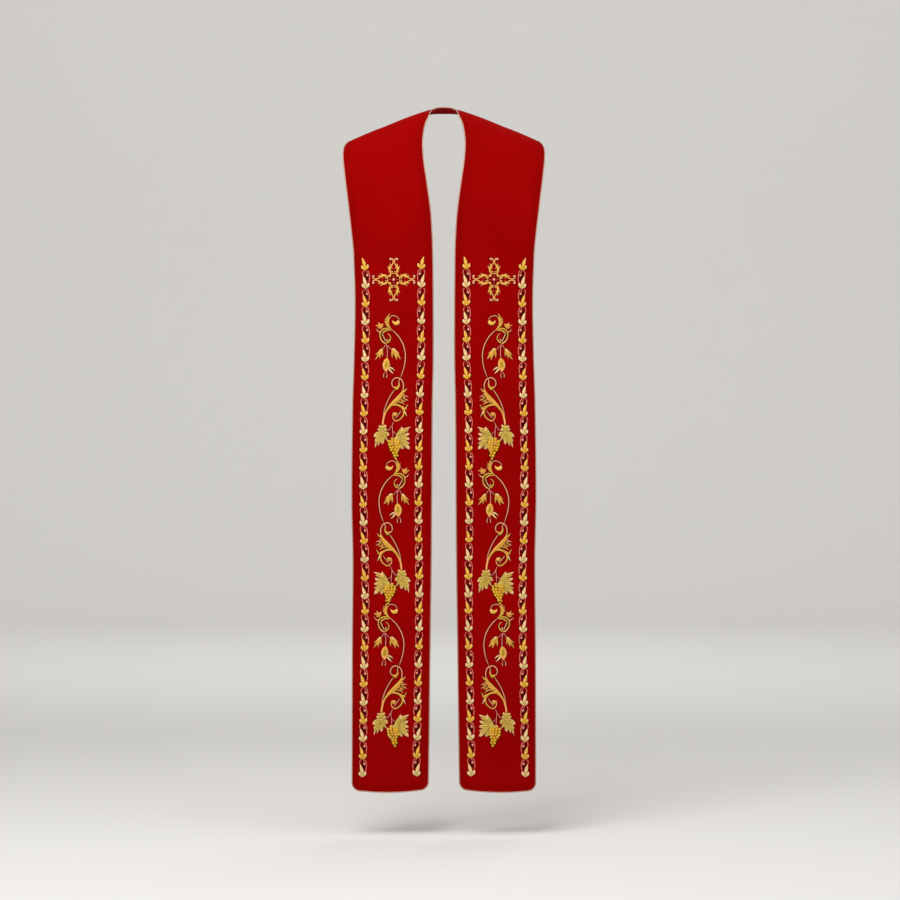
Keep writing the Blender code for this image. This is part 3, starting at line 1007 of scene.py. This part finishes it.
# one repeat: thread, half width, way of tapering, height, then the line it follows
scrollStrokes = (
    # thin stems
    ("stem", 1.3, "stem", 0.0, (
        (-3.5, -29.4), (3.2, -35.6), (10.2, -43.2), (16.6, -53.4), (21.2, -64.4), (23.7, -77.4),
        (23.5, -90), (20.8, -105.4), (14.6, -124),
    )),
    ("rose", 0.75, "stem", 0.0, ((-15.4, -58.5), (-17.2, -63), (-19.8, -67.6))),
    ("rose", 0.75, "stem", 0.0, ((-12.6, -59.5), (-8.4, -64), (-4.2, -68.6))),
    ("rose", 0.95, "stem", 0.0, ((-14.4, -58), (-12, -65.4), (-11.4, -75), (-11.9, -86))),
    ("stem", 1.15, "stem", 0.0, (
        (3.4, -146.4), (-4.6, -158.6), (-11.4, -172), (-16.4, -186), (-19, -200),
    )),
    ("rose", 0.85, "stem", 0.0, ((1.8, -209.6), (-1.4, -216.8), (-5.2, -222.4), (-9.4, -228))),
    ("rose", 0.85, "stem", 0.0, ((-1.2, -216), (-0.4, -224), (0.2, -232), (0.8, -240))),
    ("rose", 0.65, "stem", 0.0, ((-0.2, -227.4), (3.2, -231), (7.4, -234.6))),
    ("stem", 1.4, "petal", 0.0, ((-24, -34.8), (-28.4, -34), (-32.2, -31), (-34.6, -27.4))),
    # first curl, its bulb and the toothed leaf beside it
    ("antique", 1.5, "stem", 0.0, (
        (-3.2, -30.4), (-7.6, -25), (-9.9, -17.6), (-9.2, -9.8), (-6.2, -5),
    )),
    ("stem", 1.0, "stem", 0.1, (
        (-7.6, -7), (-5, -4.1), (-0.2, -2.6), (5.4, -4.2), (9.8, -7.8), (11.3, -12.4),
    )),
    ("gold", 4.0, "petal", 0.1, ((10.2, -11.6), (9.2, -16), (5, -18.2), (0.8, -16.4), (-2.4, -11.8))),
    ("cream", 1.8, "petal", 0.9, ((9.4, -11.6), (9, -15), (6.4, -17.6))),
    ("antique", 2.0, "petal", 0.0, ((-5.4, -29), (-10.6, -21.4), (-12.6, -12), (-11.2, -4.6))),
    ("antique", 1.7, "petal", 0.0, ((-8.6, -26), (-13.2, -20.4), (-17.8, -12.4))),
    ("antique", 1.5, "petal", 0.1, ((-11.4, -18.4), (-14.8, -12.6), (-15.8, -5.8))),
    ("antique", 2.1, "petal", 0.1, ((-11.6, -15), (-12, -7.6), (-7.2, 1.8))),
    # small pointed leaf
    ("rust", 4.4, "lens", 0.0, ((-19.6, -24), (-25, -22.8), (-30.6, -22))),
    ("rust", 2.3, "petal", 0.2, ((-25, -22.8), (-30, -22.2), (-35, -21.4))),
    ("rust", 2.2, "petal", 0.2, ((-23.6, -22), (-27, -19.4), (-29.6, -15.6))),
    ("antique", 2.0, "petal", 0.3, ((-22.6, -24), (-21.4, -20.4), (-20.2, -17.6))),
    ("antique", 1.7, "petal", 0.1, ((-22, -26), (-27.2, -26.8), (-31.4, -25.4))),
    # hooked branch, a double strand
    ("antique", 1.5, "stem", 0.0, (
        (-7.4, -28), (-15.6, -27.6), (-21.6, -30), (-25.2, -34.4), (-26, -41), (-24.7, -47.4),
        (-21, -53), (-16.2, -56.4), (-12.8, -56),
    )),
    ("antique", 1.3, "stem", 0.0, ((-3.4, -30.8), (-9.8, -31), (-16.4, -33.4), (-20.6, -36.6))),
    ("olive", 0.8, "stem", 0.0, ((-8.6, -29.6), (-14.8, -30.2), (-19.6, -32.6), (-22.4, -36))),
    ("antique", 2.0, "whip", 0.0, (
        (-13.6, -56.2), (-8.4, -53), (-5.3, -48), (-5.7, -43.2), (-8.4, -39.6), (-11.2, -37.8),
    )),
    ("cream", 0.85, "stem", 0.0, ((-22, -37), (-19.6, -42.4), (-16.6, -48.6), (-14.8, -53))),
    ("cream", 1.2, "petal", 0.0, ((-13.4, -53), (-11.6, -49.6), (-9, -48.4))),
    # three buds
    ("antique", 4.9, "lens", 0.0, ((-20.4, -66.6), (-24, -73), (-28.6, -80.6))),
    ("antique", 2.1, "petal", 0.2, ((-26, -76), (-30.4, -82), (-35.4, -89))),
    ("antique", 2.1, "petal", 0.3, ((-24, -74), (-25.6, -80.4), (-26.8, -87))),
    ("antique", 1.8, "petal", 0.2, ((-22, -72), (-20.8, -77.4), (-20.6, -82.8))),
    ("antique", 1.7, "petal", 0.2, ((-26.6, -73), (-30.8, -76), (-34.6, -79.6))),
    ("cream", 1.7, "petal", 0.9, ((-20.2, -67.4), (-23.4, -69.2), (-27.4, -74))),
    ("antique", 5.7, "lens", 0.0, ((-3, -66.8), (2.8, -74), (8.4, -82))),
    ("antique", 2.5, "petal", 0.2, ((4.6, -75.6), (9.8, -81.4), (14.8, -87.4))),
    ("antique", 2.4, "petal", 0.3, ((3.6, -76), (5.4, -82.6), (7.4, -89.4))),
    ("antique", 2.2, "petal", 0.2, ((-0.4, -71), (-2.2, -78), (-1.6, -85.4))),
    ("antique", 2.0, "petal", 0.2, ((3.4, -71), (8.2, -74), (12.2, -78.6))),
    ("cream", 1.9, "petal", 0.9, ((-2.8, -68), (2.2, -68.4), (7, -73.4))),
    ("olive", 1.7, "petal", 0.9, ((-0.6, -71.4), (2.6, -75.6), (6.2, -81))),
    ("antique", 7.8, "lens", 0.0, ((-11.8, -84.6), (-13.4, -98), (-14, -112.6))),
    ("olive", 3.3, "lens", 0.5, ((-12.6, -89), (-13.6, -97), (-13.4, -107))),
    ("berry", 1.2, "whip", 0.0, ((-12.6, -124), (-11.8, -118), (-13.4, -111.6))),
    ("berry", 1.2, "whip", 0.0, ((-18.2, -124), (-18.4, -117.4), (-15, -111.6))),
    ("cream", 1.7, "petal", 0.0, ((-7.4, -103), (-1.4, -105.8), (3.6, -110.2))),
    ("cream", 2.0, "petal", 0.0, ((-9, -105), (-4.4, -111.2), (1, -116))),
    # small loop half way down, and its bulb
    ("stem", 1.4, "stem", 0.0, (
        (15.2, -127.6), (10.6, -124.3), (5.8, -124), (1.2, -126.9), (-1.8, -131.6), (-2.1, -137),
        (0.3, -141.6), (4.2, -144),
    )),
    ("antique", 2.4, "petal", 0.1, (
        (1.4, -141), (6.2, -144.4), (10.6, -141.6), (12, -136), (10.6, -129.4),
    )),
    ("olive", 1.6, "lens", 0.0, ((3.6, -145.4), (7.2, -147), (11, -144.4))),
    ("stem", 1.0, "stem", 0.0, ((14.2, -124.6), (11.8, -129.4), (10.6, -134))),
    # plume, with the flower on it
    ("stem", 1.4, "stem", 0.0, (
        (14, -124.6), (18.4, -130.6), (20.5, -137.4), (20.2, -145), (18.8, -151),
    )),
    ("antique", 5.0, "plume", 0.0, (
        (20.4, -147), (17, -155.5), (10.2, -164.5), (1, -172.4), (-7.2, -181), (-14, -191),
        (-18, -203), (-19.8, -216.4),
    )),
    ("antique", 1.9, "petal", 0.0, ((18.6, -153), (23.4, -149.4), (27.8, -144))),
    ("antique", 1.7, "petal", 0.0, ((16, -157.6), (20, -157.4), (23.6, -155.2))),
    ("stem", 1.5, "petal", 0.0, ((19, -161.6), (25.6, -159.8), (31.2, -162))),
    ("stem", 1.5, "petal", 0.0, ((21.4, -165.6), (26, -166), (30.4, -169.2))),
    ("rust", 1.9, "petal", 0.0, ((14.6, -166), (20.4, -169.6), (26.6, -168.6))),
    ("olive", 1.7, "petal", 0.0, ((5, -171.4), (12, -171.6), (18, -173.4))),
    ("antique", 1.6, "petal", 0.1, ((12, -170.8), (18, -172.8), (23.8, -177.2))),
    # volute, wound in on itself, with spikes outside it
    ("antique", 2.5, "whip", 0.0, (
        (-10, -181.6), (-3.2, -177.4), (4.2, -176.4), (10.9, -177.8), (16.6, -181.2), (20.6, -187),
        (21.2, -194), (18.9, -199.8), (14, -204.8), (7.6, -208.2), (3.4, -206.8), (0.2, -202.2),
        (-0.4, -196.4), (1.4, -192),
    )),
    ("antique", 3.0, "lens", 0.1, ((15.4, -179.4), (20.6, -183.4), (23, -190))),
    ("stem", 0.9, "stem", 0.4, ((15.8, -188.4), (10.8, -196), (5, -204.4))),
    ("antique", 1.5, "petal", 0.0, ((21.2, -186), (25.6, -182), (29.8, -175.2))),
    ("antique", 1.3, "petal", 0.0, ((21.4, -185.4), (25, -184.6), (28, -185.4))),
    ("cream", 1.5, "petal", 0.0, ((22, -186.6), (24.2, -192.4), (27.8, -199.6))),
)

# berries and round knots of one repeat: thread, place, radius, height
scrollKnots = (
    ("antique", 4.9, -195.4, 4.4, 0.1),
    ("olive", 6.6, -195.6, 1.7, 2.1),
    ("olive", 21.4, -164.2, 2.9, 0.6),
)

# lobes of the two vine leaves: half width, way of tapering, line from the stalk outwards
vineLeaves = (
    (
        (6.4, "lens", ((-19.8, -215.6), (-19.6, -223), (-19.8, -234))),
        (8.2, "lens", ((-19.4, -226), (-20.6, -238), (-22.8, -250))),
        (3.6, "lobe", ((-19.6, -225), (-23.6, -221), (-27.2, -217))),
        (3.2, "lobe", ((-19.6, -227.6), (-25, -226), (-29.6, -223.6))),
        (3.6, "lobe", ((-19.4, -225), (-16, -220.6), (-13.6, -215.4))),
        (3.4, "lobe", ((-19, -228), (-14.6, -226), (-10.4, -224))),
        (4.3, "lobe", ((-20, -230.6), (-28, -232.4), (-36.8, -239.4))),
        (3.7, "petal", ((-21, -233), (-29, -240), (-35.2, -248))),
        (3.9, "petal", ((-21.4, -234), (-29.6, -246), (-34.2, -260.4))),
        (3.3, "petal", ((-21, -236), (-25.2, -246), (-27.8, -257))),
        (4.0, "lobe", ((-19.8, -236), (-19.8, -245), (-19.3, -253.6))),
        (3.7, "petal", ((-18.6, -234), (-13.8, -240.6), (-9.4, -247.4))),
        (4.2, "lobe", ((-18.2, -231.6), (-12.6, -232), (-7, -237.6))),
    ),
    (
        (9.0, "lens", ((1, -246), (14, -243), (28, -245))),
        (4.6, "lens", ((6, -241.6), (14, -231.6), (20.4, -221))),
        (3.0, "petal", ((11, -235), (15, -227), (18.6, -218.8))),
        (4.4, "petal", ((12, -238), (22.4, -226.6), (34.8, -220))),
        (2.8, "petal", ((15, -235), (23, -229.8), (31.2, -226.2))),
        (3.6, "lobe", ((14, -239.6), (24, -236.8), (32.8, -232.4))),
        (3.9, "lobe", ((13, -243), (24, -243), (34, -243.6))),
        (3.6, "petal", ((14, -246), (25, -249.6), (34.6, -252))),
        (4.6, "lobe", ((12, -248), (24, -253.4), (33.8, -263.4))),
        (3.3, "lobe", ((11, -251), (17, -257.4), (21.4, -263.4))),
    ),
)

# the bunch of grapes, row by row: height, first berry, how many
grapeRows = (
    (-243.8, -0.6, 1), (-248.8, -6.2, 3), (-254.0, -6.0, 4), (-259.4, -4.2, 4),
    (-264.8, -1.4, 3), (-270.2, 2.4, 2), (-275.6, 4.6, 1), (-275.6, 9.8, 1), (-280.8, 7.0, 1),
)

grapes = {
    "radius": 3.6,
    "tipRadius": 2.8,        # of the lowest rows
    "tipRows": 2,
    "sizes": (0.88, 1.08),
    "spacing": 5.9,
    "stray": 0.5,
    "lowest": 0.5,           # how high the berries stand at least, and what chance adds
    "lift": 0.3,
    "threads": ("grape", "grape", "grape", "ochre", "antique"),
}

# the round eye at the top of the bunch
eyeKnots = (("grape", 10.6, -250.2, 4.9, 0.9), ("antique", 10.6, -250.2, 2.2, 2.3))

vineLeaf = {
    "step": 0.06,            # how much higher each lobe lies than the last
    "sideRim": 0.45,         # how much of the rim's colour the lobes' sides take
    "veinHeight": 1.5,
    "veinHalf": 0.6,
    "veinReach": 0.55,       # how far a vein runs into a lobe's outer half
}


def addVineLeaf(work, lobes):
    for number, (half, shape, path) in enumerate(lobes):
        addStroke(work, path, half, shape, "vine", vineLeaf["step"] * number,
                  sideRim=vineLeaf["sideRim"])
    for number, (half, shape, path) in enumerate(lobes[2:]):
        vein = (path[0], path[1], Vector(path[1]).lerp(Vector(path[2]), vineLeaf["veinReach"]))
        height = vineLeaf["veinHeight"] + vineLeaf["step"] * number
        addStroke(work, vein, vineLeaf["veinHalf"], "whip", "vein", height, shadow=False)


def addGrapes(work, chance):
    stray = grapes["stray"]
    for number, (z, first, count) in enumerate(grapeRows):
        size = grapes["radius" if number < len(grapeRows) - grapes["tipRows"] else "tipRadius"]
        for k in range(count):
            radius = size * chance.uniform(*grapes["sizes"])
            x = first + grapes["spacing"] * k + chance.uniform(-stray, stray)
            addBerry(work, x, z + chance.uniform(-stray, stray), radius, chance.choice(grapes["threads"]),
                     grapes["lowest"] + grapes["lift"] * chance.random())


def makeScroll():
    work = newWork()

    def repeatPlace(flip, top, stretch):
        return lambda x, z: (flip * x - panelAxis(top + z), top + stretch * z)

    chance = random.Random(scroll["seed"])
    for repeat, top in enumerate(scroll["tops"]):
        work["place"] = repeatPlace(-1 if repeat % 2 else 1, top, scroll["stretch"][repeat])
        for slot, half, shape, base, path in scrollStrokes:
            addStroke(work, path, half, shape, slot, base)
        addKnots(work, scrollKnots)
        for lobes in vineLeaves:
            addVineLeaf(work, lobes)
        addKnots(work, eyeKnots)
        addGrapes(work, chance)
    return addThreadPieces("scroll", work)


border = {
    "topRoot": -336.6,      # where the topmost leaf is rooted
    "pitch": 35.3,
    "leaves": 29,
    "lastPaired": 10,       # below this leaf, gold and cream change places
    "uneven": 0.035,
    "seeds": {"outer": 7, "inner": 12},
    "height": 0.15,         # of the leaves and strands over the cloth
    "veinHeight": 1.4,
    "lessShadow": 1.2,      # how much narrower the painted shadow round the strands is than round the leaves
}

# leaf number, from the stole's edge to the middle of the chain, how far the leaf has slipped down;
# the chain is worked in two runs, joined at leaf 18
borderPlaces = {
    "outer": (
        (0, 21.5, 0.2), (3, 21.3, 1.5), (6, 23.0, 2.8), (9, 22.7, 3.4), (12, 22.5, 4.2), (15, 23.0, 5.4),
        (18, 24.4, 6.6), (19, 24.7, 1.4), (21, 24.3, 1.6), (23, 23.0, 2.4), (25, 22.4, 2.8), (28, 20.4, 0.4),
    ),
    "inner": (
        (0, 23.2, -1.8), (3, 23.8, -0.5), (6, 24.6, 0.8), (9, 25.5, 1.0), (12, 26.2, 1.2), (15, 25.3, 1.6),
        (18, 23.0, 3.0), (19, 22.5, -0.6), (21, 22.4, -1.0), (24, 23.3, -0.5), (28, 24.2, -1.5),
    ),
}

# one link of the chain, rooted at its own origin, the leaf's tip leaning to -x
heartStrokes = (
    (4.9, "lobe", 9, ((0.9, 11.8), (0.9, 6.4), (0.8, 0.5))),
)
leafStrokes = (
    (3.2, "lobe", 8, ((1.4, 3.0), (4.2, 4.5), (6.2, 7.5), (6.9, 12.6))),
    (2.9, "lobe", 8, ((0.4, 2.8), (-2.2, 3.9), (-4.2, 6.5), (-4.9, 10.8))),
    (3.6, "petal", 9, ((0.8, 8.2), (-0.2, 13.0), (-1.7, 18.4), (-4.1, 26.0))),
)
strandStrokes = (
    (0.75, "stem", 7, ((-3.0, 35.8), (-4.7, 32.6), (-5.2, 29.4), (-4.4, 25.6))),
    (0.8, "stem", 9, ((4.2, 37.0), (7.0, 32.6), (8.4, 27.0), (8.6, 20.4), (7.8, 13.8))),
    (0.6, "stem", 5, ((1.4, 35.6), (3.2, 32.6), (4.2, 29.0))),
)
# painted shadow filling the hollow of each link, between its strands
linkHollowShadow = (2.5, "lens", 7, ((0.4, 35.0), (1.8, 28.4), (4.4, 16.2)))
veinStrokes = (
    (0.42, "whip", 5, ((0.9, 2.8), (0.1, 11.5), (-1.8, 19.5))),
    (0.36, "whip", 4, ((1.8, 4.6), (4.6, 6.2), (6.4, 9.6))),
    (0.36, "whip", 4, ((0.2, 4.8), (-2.4, 5.6), (-4.4, 8.2))),
)
linkKnot = (4.3, 27.0, 2.6, "berry", 0.2)  # place, radius, thread, height


def borderParts(flip):
    parts = {}
    for name in ("Leaf", "Heart", "Leaf Shadow", "Strand", "Strand Shadow", "Vein", "Berry"):
        parts[name] = newWork()
        parts[name]["place"] = lambda x, z: (flip * x, z)
    for strokes, name, ground, less in ((heartStrokes, "Heart", "Leaf Shadow", 0.0),
                                        (leafStrokes, "Leaf", "Leaf Shadow", 0.0),
                                        (strandStrokes, "Strand", "Strand Shadow", border["lessShadow"])):
        for half, shape, rings, path in strokes:
            addStroke(parts[name], path, half, shape, "gold", border["height"], rings, False)
            addShadow(parts[ground], path, half - less, shape, rings)
    for half, shape, rings, path in veinStrokes:
        addStroke(parts["Vein"], path, half, shape, "vein", border["veinHeight"], rings, False)
    half, shape, rings, path = linkHollowShadow
    addShadow(parts["Strand Shadow"], path, half, shape, rings)
    addBerry(parts["Berry"], *linkKnot, False)
    return parts


# part of a link, where it goes, which thread it takes
chainLayers = (
    ("Leaf", "gold", "gold"),
    ("Leaf", "cream", "cream"),
    ("Heart", "gold", "ochre"),
    ("Heart", "cream", "sage"),
    ("Vein", "all", "vein"),
    ("Leaf Shadow", "all", "shadow"),
    ("Strand", "linked", "rose"),
    ("Berry", "linked", "berry"),
    ("Strand Shadow", "linked", "shadow"),
)


def chainTree():
    # links of the border set along a line, their leaves alternately gold and cream
    tree = bpy.data.node_groups.new("borderChain", "GeometryNodeTree")
    addSocket(tree, "Line", "Geometry")
    for name, kind, value in (("Leaves", "Int", 29), ("Last Paired", "Int", 10),
                              ("Uneven", "Float", 0.03), ("Seed", "Int", 1)):
        addSocket(tree, name, kind, value)
    for name in sorted({layer[0] for layer in chainLayers}):
        addSocket(tree, name, "Object")
    for name in sorted({layer[2] for layer in chainLayers}):
        addSocket(tree, name, "Material")
    addSocket(tree, "Chain", "Geometry", way="OUTPUT")
    given = wire(tree, "NodeGroupInput").outputs
    uneven, seed = given["Uneven"], given["Seed"]
    roots = wire(tree, "GeometryNodeCurveToPoints", {"Curve": given["Line"]}, mode="EVALUATED").outputs
    index = wire(tree, "GeometryNodeInputIndex").outputs[0]
    fromTop = maths(tree, "SUBTRACT", maths(tree, "SUBTRACT", given["Leaves"], 1.0), index)
    swapped = maths(tree, "GREATER_THAN", fromTop, given["Last Paired"])
    turn = maths(tree, "FLOORED_MODULO", plus(tree, fromTop, swapped), 2.0)
    chosen = {
        "gold": maths(tree, "LESS_THAN", turn, 0.5),
        "cream": maths(tree, "GREATER_THAN", turn, 0.5),
        "linked": maths(tree, "GREATER_THAN", fromTop, 0.5),
        "all": True,
    }
    upright = wire(tree, "FunctionNodeAlignRotationToVector", {"Vector": roots["Tangent"]},
                   axis="Z", pivot_axis="Y").outputs[0]
    low = times(tree, uneven, -1.0)
    feeds = {2: low, 3: uneven, "Seed": seed}
    tilt = wire(tree, "FunctionNodeRandomValue", feeds, data_type="FLOAT").outputs[1]
    feeds = {2: plus(tree, low, 1.0), 3: plus(tree, uneven, 1.0), "Seed": plus(tree, seed, 1.0)}
    size = wire(tree, "FunctionNodeRandomValue", feeds, data_type="FLOAT").outputs[1]
    lean = wire(tree, "ShaderNodeCombineXYZ", {1: tilt}).outputs[0]
    lean = wire(tree, "FunctionNodeEulerToRotation", {0: lean}).outputs[0]
    tilted = wire(tree, "FunctionNodeRotateRotation", {0: upright, 1: lean}).outputs[0]
    join = wire(tree, "GeometryNodeJoinGeometry")
    for part, where, thread in chainLayers:
        source = wire(tree, "GeometryNodeObjectInfo", {"Object": given[part]}).outputs["Geometry"]
        feeds = {"Points": roots["Points"], "Instance": source, "Selection": chosen[where],
                 "Rotation": tilted, "Scale": size}
        placed = wire(tree, "GeometryNodeInstanceOnPoints", feeds).outputs[0]
        tree.links.new(dressed(tree, placed, given[thread]), join.inputs[0])
    wire(tree, "NodeGroupOutput", {0: join.outputs[0]})
    return tree


def makeBorder(where, edge, flip, tree):
    # edge is the column of the hanging table that the chain runs beside
    line = []
    for k in range(border["leaves"] - 1, -1, -1):
        z = border["topRoot"] - border["pitch"] * k - readTable(borderPlaces[where], 2, k)
        margin = flip * readTable(borderPlaces[where], 1, k)
        line.append((margin - readTable(form["hanging"], edge, -z), 0.0, z))
    holder = lineObject("chainLine", line)
    parts = {name: linkPiece(bpy.data.objects.new(name, workMesh(name, work)))
             for name, work in borderParts(flip).items()}
    chain = holder.modifiers.new("chain", "NODES")
    chain.node_group = tree
    setInputs(chain, {
        "Leaves": border["leaves"],
        "Last Paired": border["lastPaired"],
        "Uneven": border["uneven"],
        "Seed": border["seeds"][where],
        **parts,
        **threads,
    })
    mesh = bakedMesh(holder, "border_" + where + "_right")
    for spare in [holder, *parts.values()]:
        bpy.data.objects.remove(spare)
    mirrored = mesh.copy()
    mirrored.name = "border_" + where + "_left"
    for vert in mirrored.vertices:
        vert.co.x = -vert.co.x
    mirrored.flip_normals()
    made = {}
    for word, use in (("right", mesh), ("left", mirrored)):
        layOnCloth(use)
        made[word] = linkPiece(bpy.data.objects.new(use.name, use))
    return made


def placeCamera():
    camera = bpy.data.cameras.new("camera")
    camera.sensor_width = picture["sensor"]
    camera.lens = picture["sensor"] * picture["distance"] / (picture["mmPerPixel"] * picture["pixels"])
    camera.clip_end = 100
    holder = linkPiece(bpy.data.objects.new("camera", camera))
    y = picture["clothPlane"] - picture["distance"]
    holder.location = Vector((picture["middleX"], y, picture["middleZ"])) * mm
    holder.rotation_euler = (math.radians(90), 0, 0)
    bpy.context.scene.camera = holder


def placeStage():
    floorZ, radius, bend = studio["floorZ"], studio["floorRadius"], studio["curveRadius"]
    steps, sides = studio["curveSteps"], studio["sides"]
    profile = []
    for k in range(steps + 1):
        turn = math.radians(90 * k / steps)
        profile.append((radius + bend * math.sin(turn), floorZ + bend * (1 - math.cos(turn))))
    profile.append((radius + bend, studio["wallTop"]))
    build = bmesh.new()
    rings = []
    for out, z in profile:
        turns = [2 * math.pi * k / sides for k in range(sides)]
        spots = [Vector((out * math.cos(a), out * math.sin(a), z)) * mm for a in turns]
        rings.append([build.verts.new(spot) for spot in spots])
    build.faces.new(rings[0])
    for low, high in zip(rings, rings[1:]):
        for k in range(sides):
            face = build.faces.new((low[k - 1], high[k - 1], high[k], low[k]))
            face.smooth = True
    build.normal_update()
    mesh = bpy.data.meshes.new("studio_bowl")
    build.to_mesh(mesh)
    build.free()
    paper, _, shader = newMaterial("studioPaper")
    shader.inputs["Base Color"].default_value = studio["paper"]
    shader.inputs["Roughness"].default_value = studio["paperRoughness"]
    mesh.materials.append(paper)
    linkPiece(bpy.data.objects.new("studio_bowl", mesh))


# name, place, aim, width and height in metres, watts
lamps = (
    ("key", (-0.8, -2.1, 1.25), (0.0, -0.1, -0.25), 1.6, 1.6, 60),
    ("fill", (2.2, -2.6, 0.6), (0.0, -0.1, -0.5), 2.0, 2.0, 12),
    ("top", (0.0, -0.5, 2.4), (0.0, -0.1, -0.2), 1.8, 1.2, 16),
    ("back", (1.2, 2.2, 1.6), (0.0, 0.0, -0.4), 1.6, 1.6, 12),
    ("backdrop", (0.0, 3.2, 2.6), (0.0, 9.5, 0.6), 4.0, 1.6, 115),
)


def placeLamps():
    for name, place, aim, width, height, watts in lamps:
        lamp = bpy.data.lights.new(name, "AREA")
        lamp.shape = "RECTANGLE"
        lamp.size, lamp.size_y = width, height
        lamp.energy = watts
        holder = linkPiece(bpy.data.objects.new(name, lamp))
        holder.location = place
        holder.rotation_euler = (Vector(aim) - Vector(place)).to_track_quat("-Z", "Y").to_euler()
    world = bpy.data.worlds.new("studio")
    world.use_nodes = True
    world.node_tree.nodes["Background"].inputs["Color"].default_value = studio["skyColour"]
    world.node_tree.nodes["Background"].inputs["Strength"].default_value = studio["skyStrength"]
    bpy.context.scene.world = world
    bpy.context.scene.view_settings.view_transform = "Standard"


placeCamera()
placeStage()
placeLamps()
print("camera, studio sweep and lamps placed")

redCloth = makeRedCloth(makeWeaveGroup())
stitchGroup = makeStitchGroup()
threads = {name: makeThread(name, stitchGroup, *look) for name, look in threadColours.items()}
twistedGold = makeCordGold()
print("cloth, thread and cord materials made")

rows, columns = clothRows()
rows = creasedRows(rows, columns)
halves = {word: makeCloth("cloth_" + word, sign, rows, columns)
          for word, sign in (("left", 1), ("right", -1))}
print("cloth made, strip", round(alongRows(rows)[-1]), "mm long")

twistTree = cordTree()
cords = {word: makeCord("cord_" + word, sign, cordPath(rows), twistTree, twistedGold)
         for word, sign in (("left", 1), ("right", -1))}
print("piping cords made")

crosses = makeCross()
scrolls = makeScroll()
print("crosses and vine scrolls stitched")

linkTree = chainTree()
outerBorders = makeBorder("outer", 2, 1, linkTree)
innerBorders = makeBorder("inner", 1, -1, linkTree)
print("border chains stitched")

for word in ("left", "right"):
    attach(halves[word], "root")
    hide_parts("stole_half_" + word)
    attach(cords[word], "root")
    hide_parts("piping_" + word)
    trims = [made[word] for made in (crosses, scrolls, outerBorders, innerBorders)]
    for trim in trims:
        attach(trim, "root")
print("pieces put on the root body")
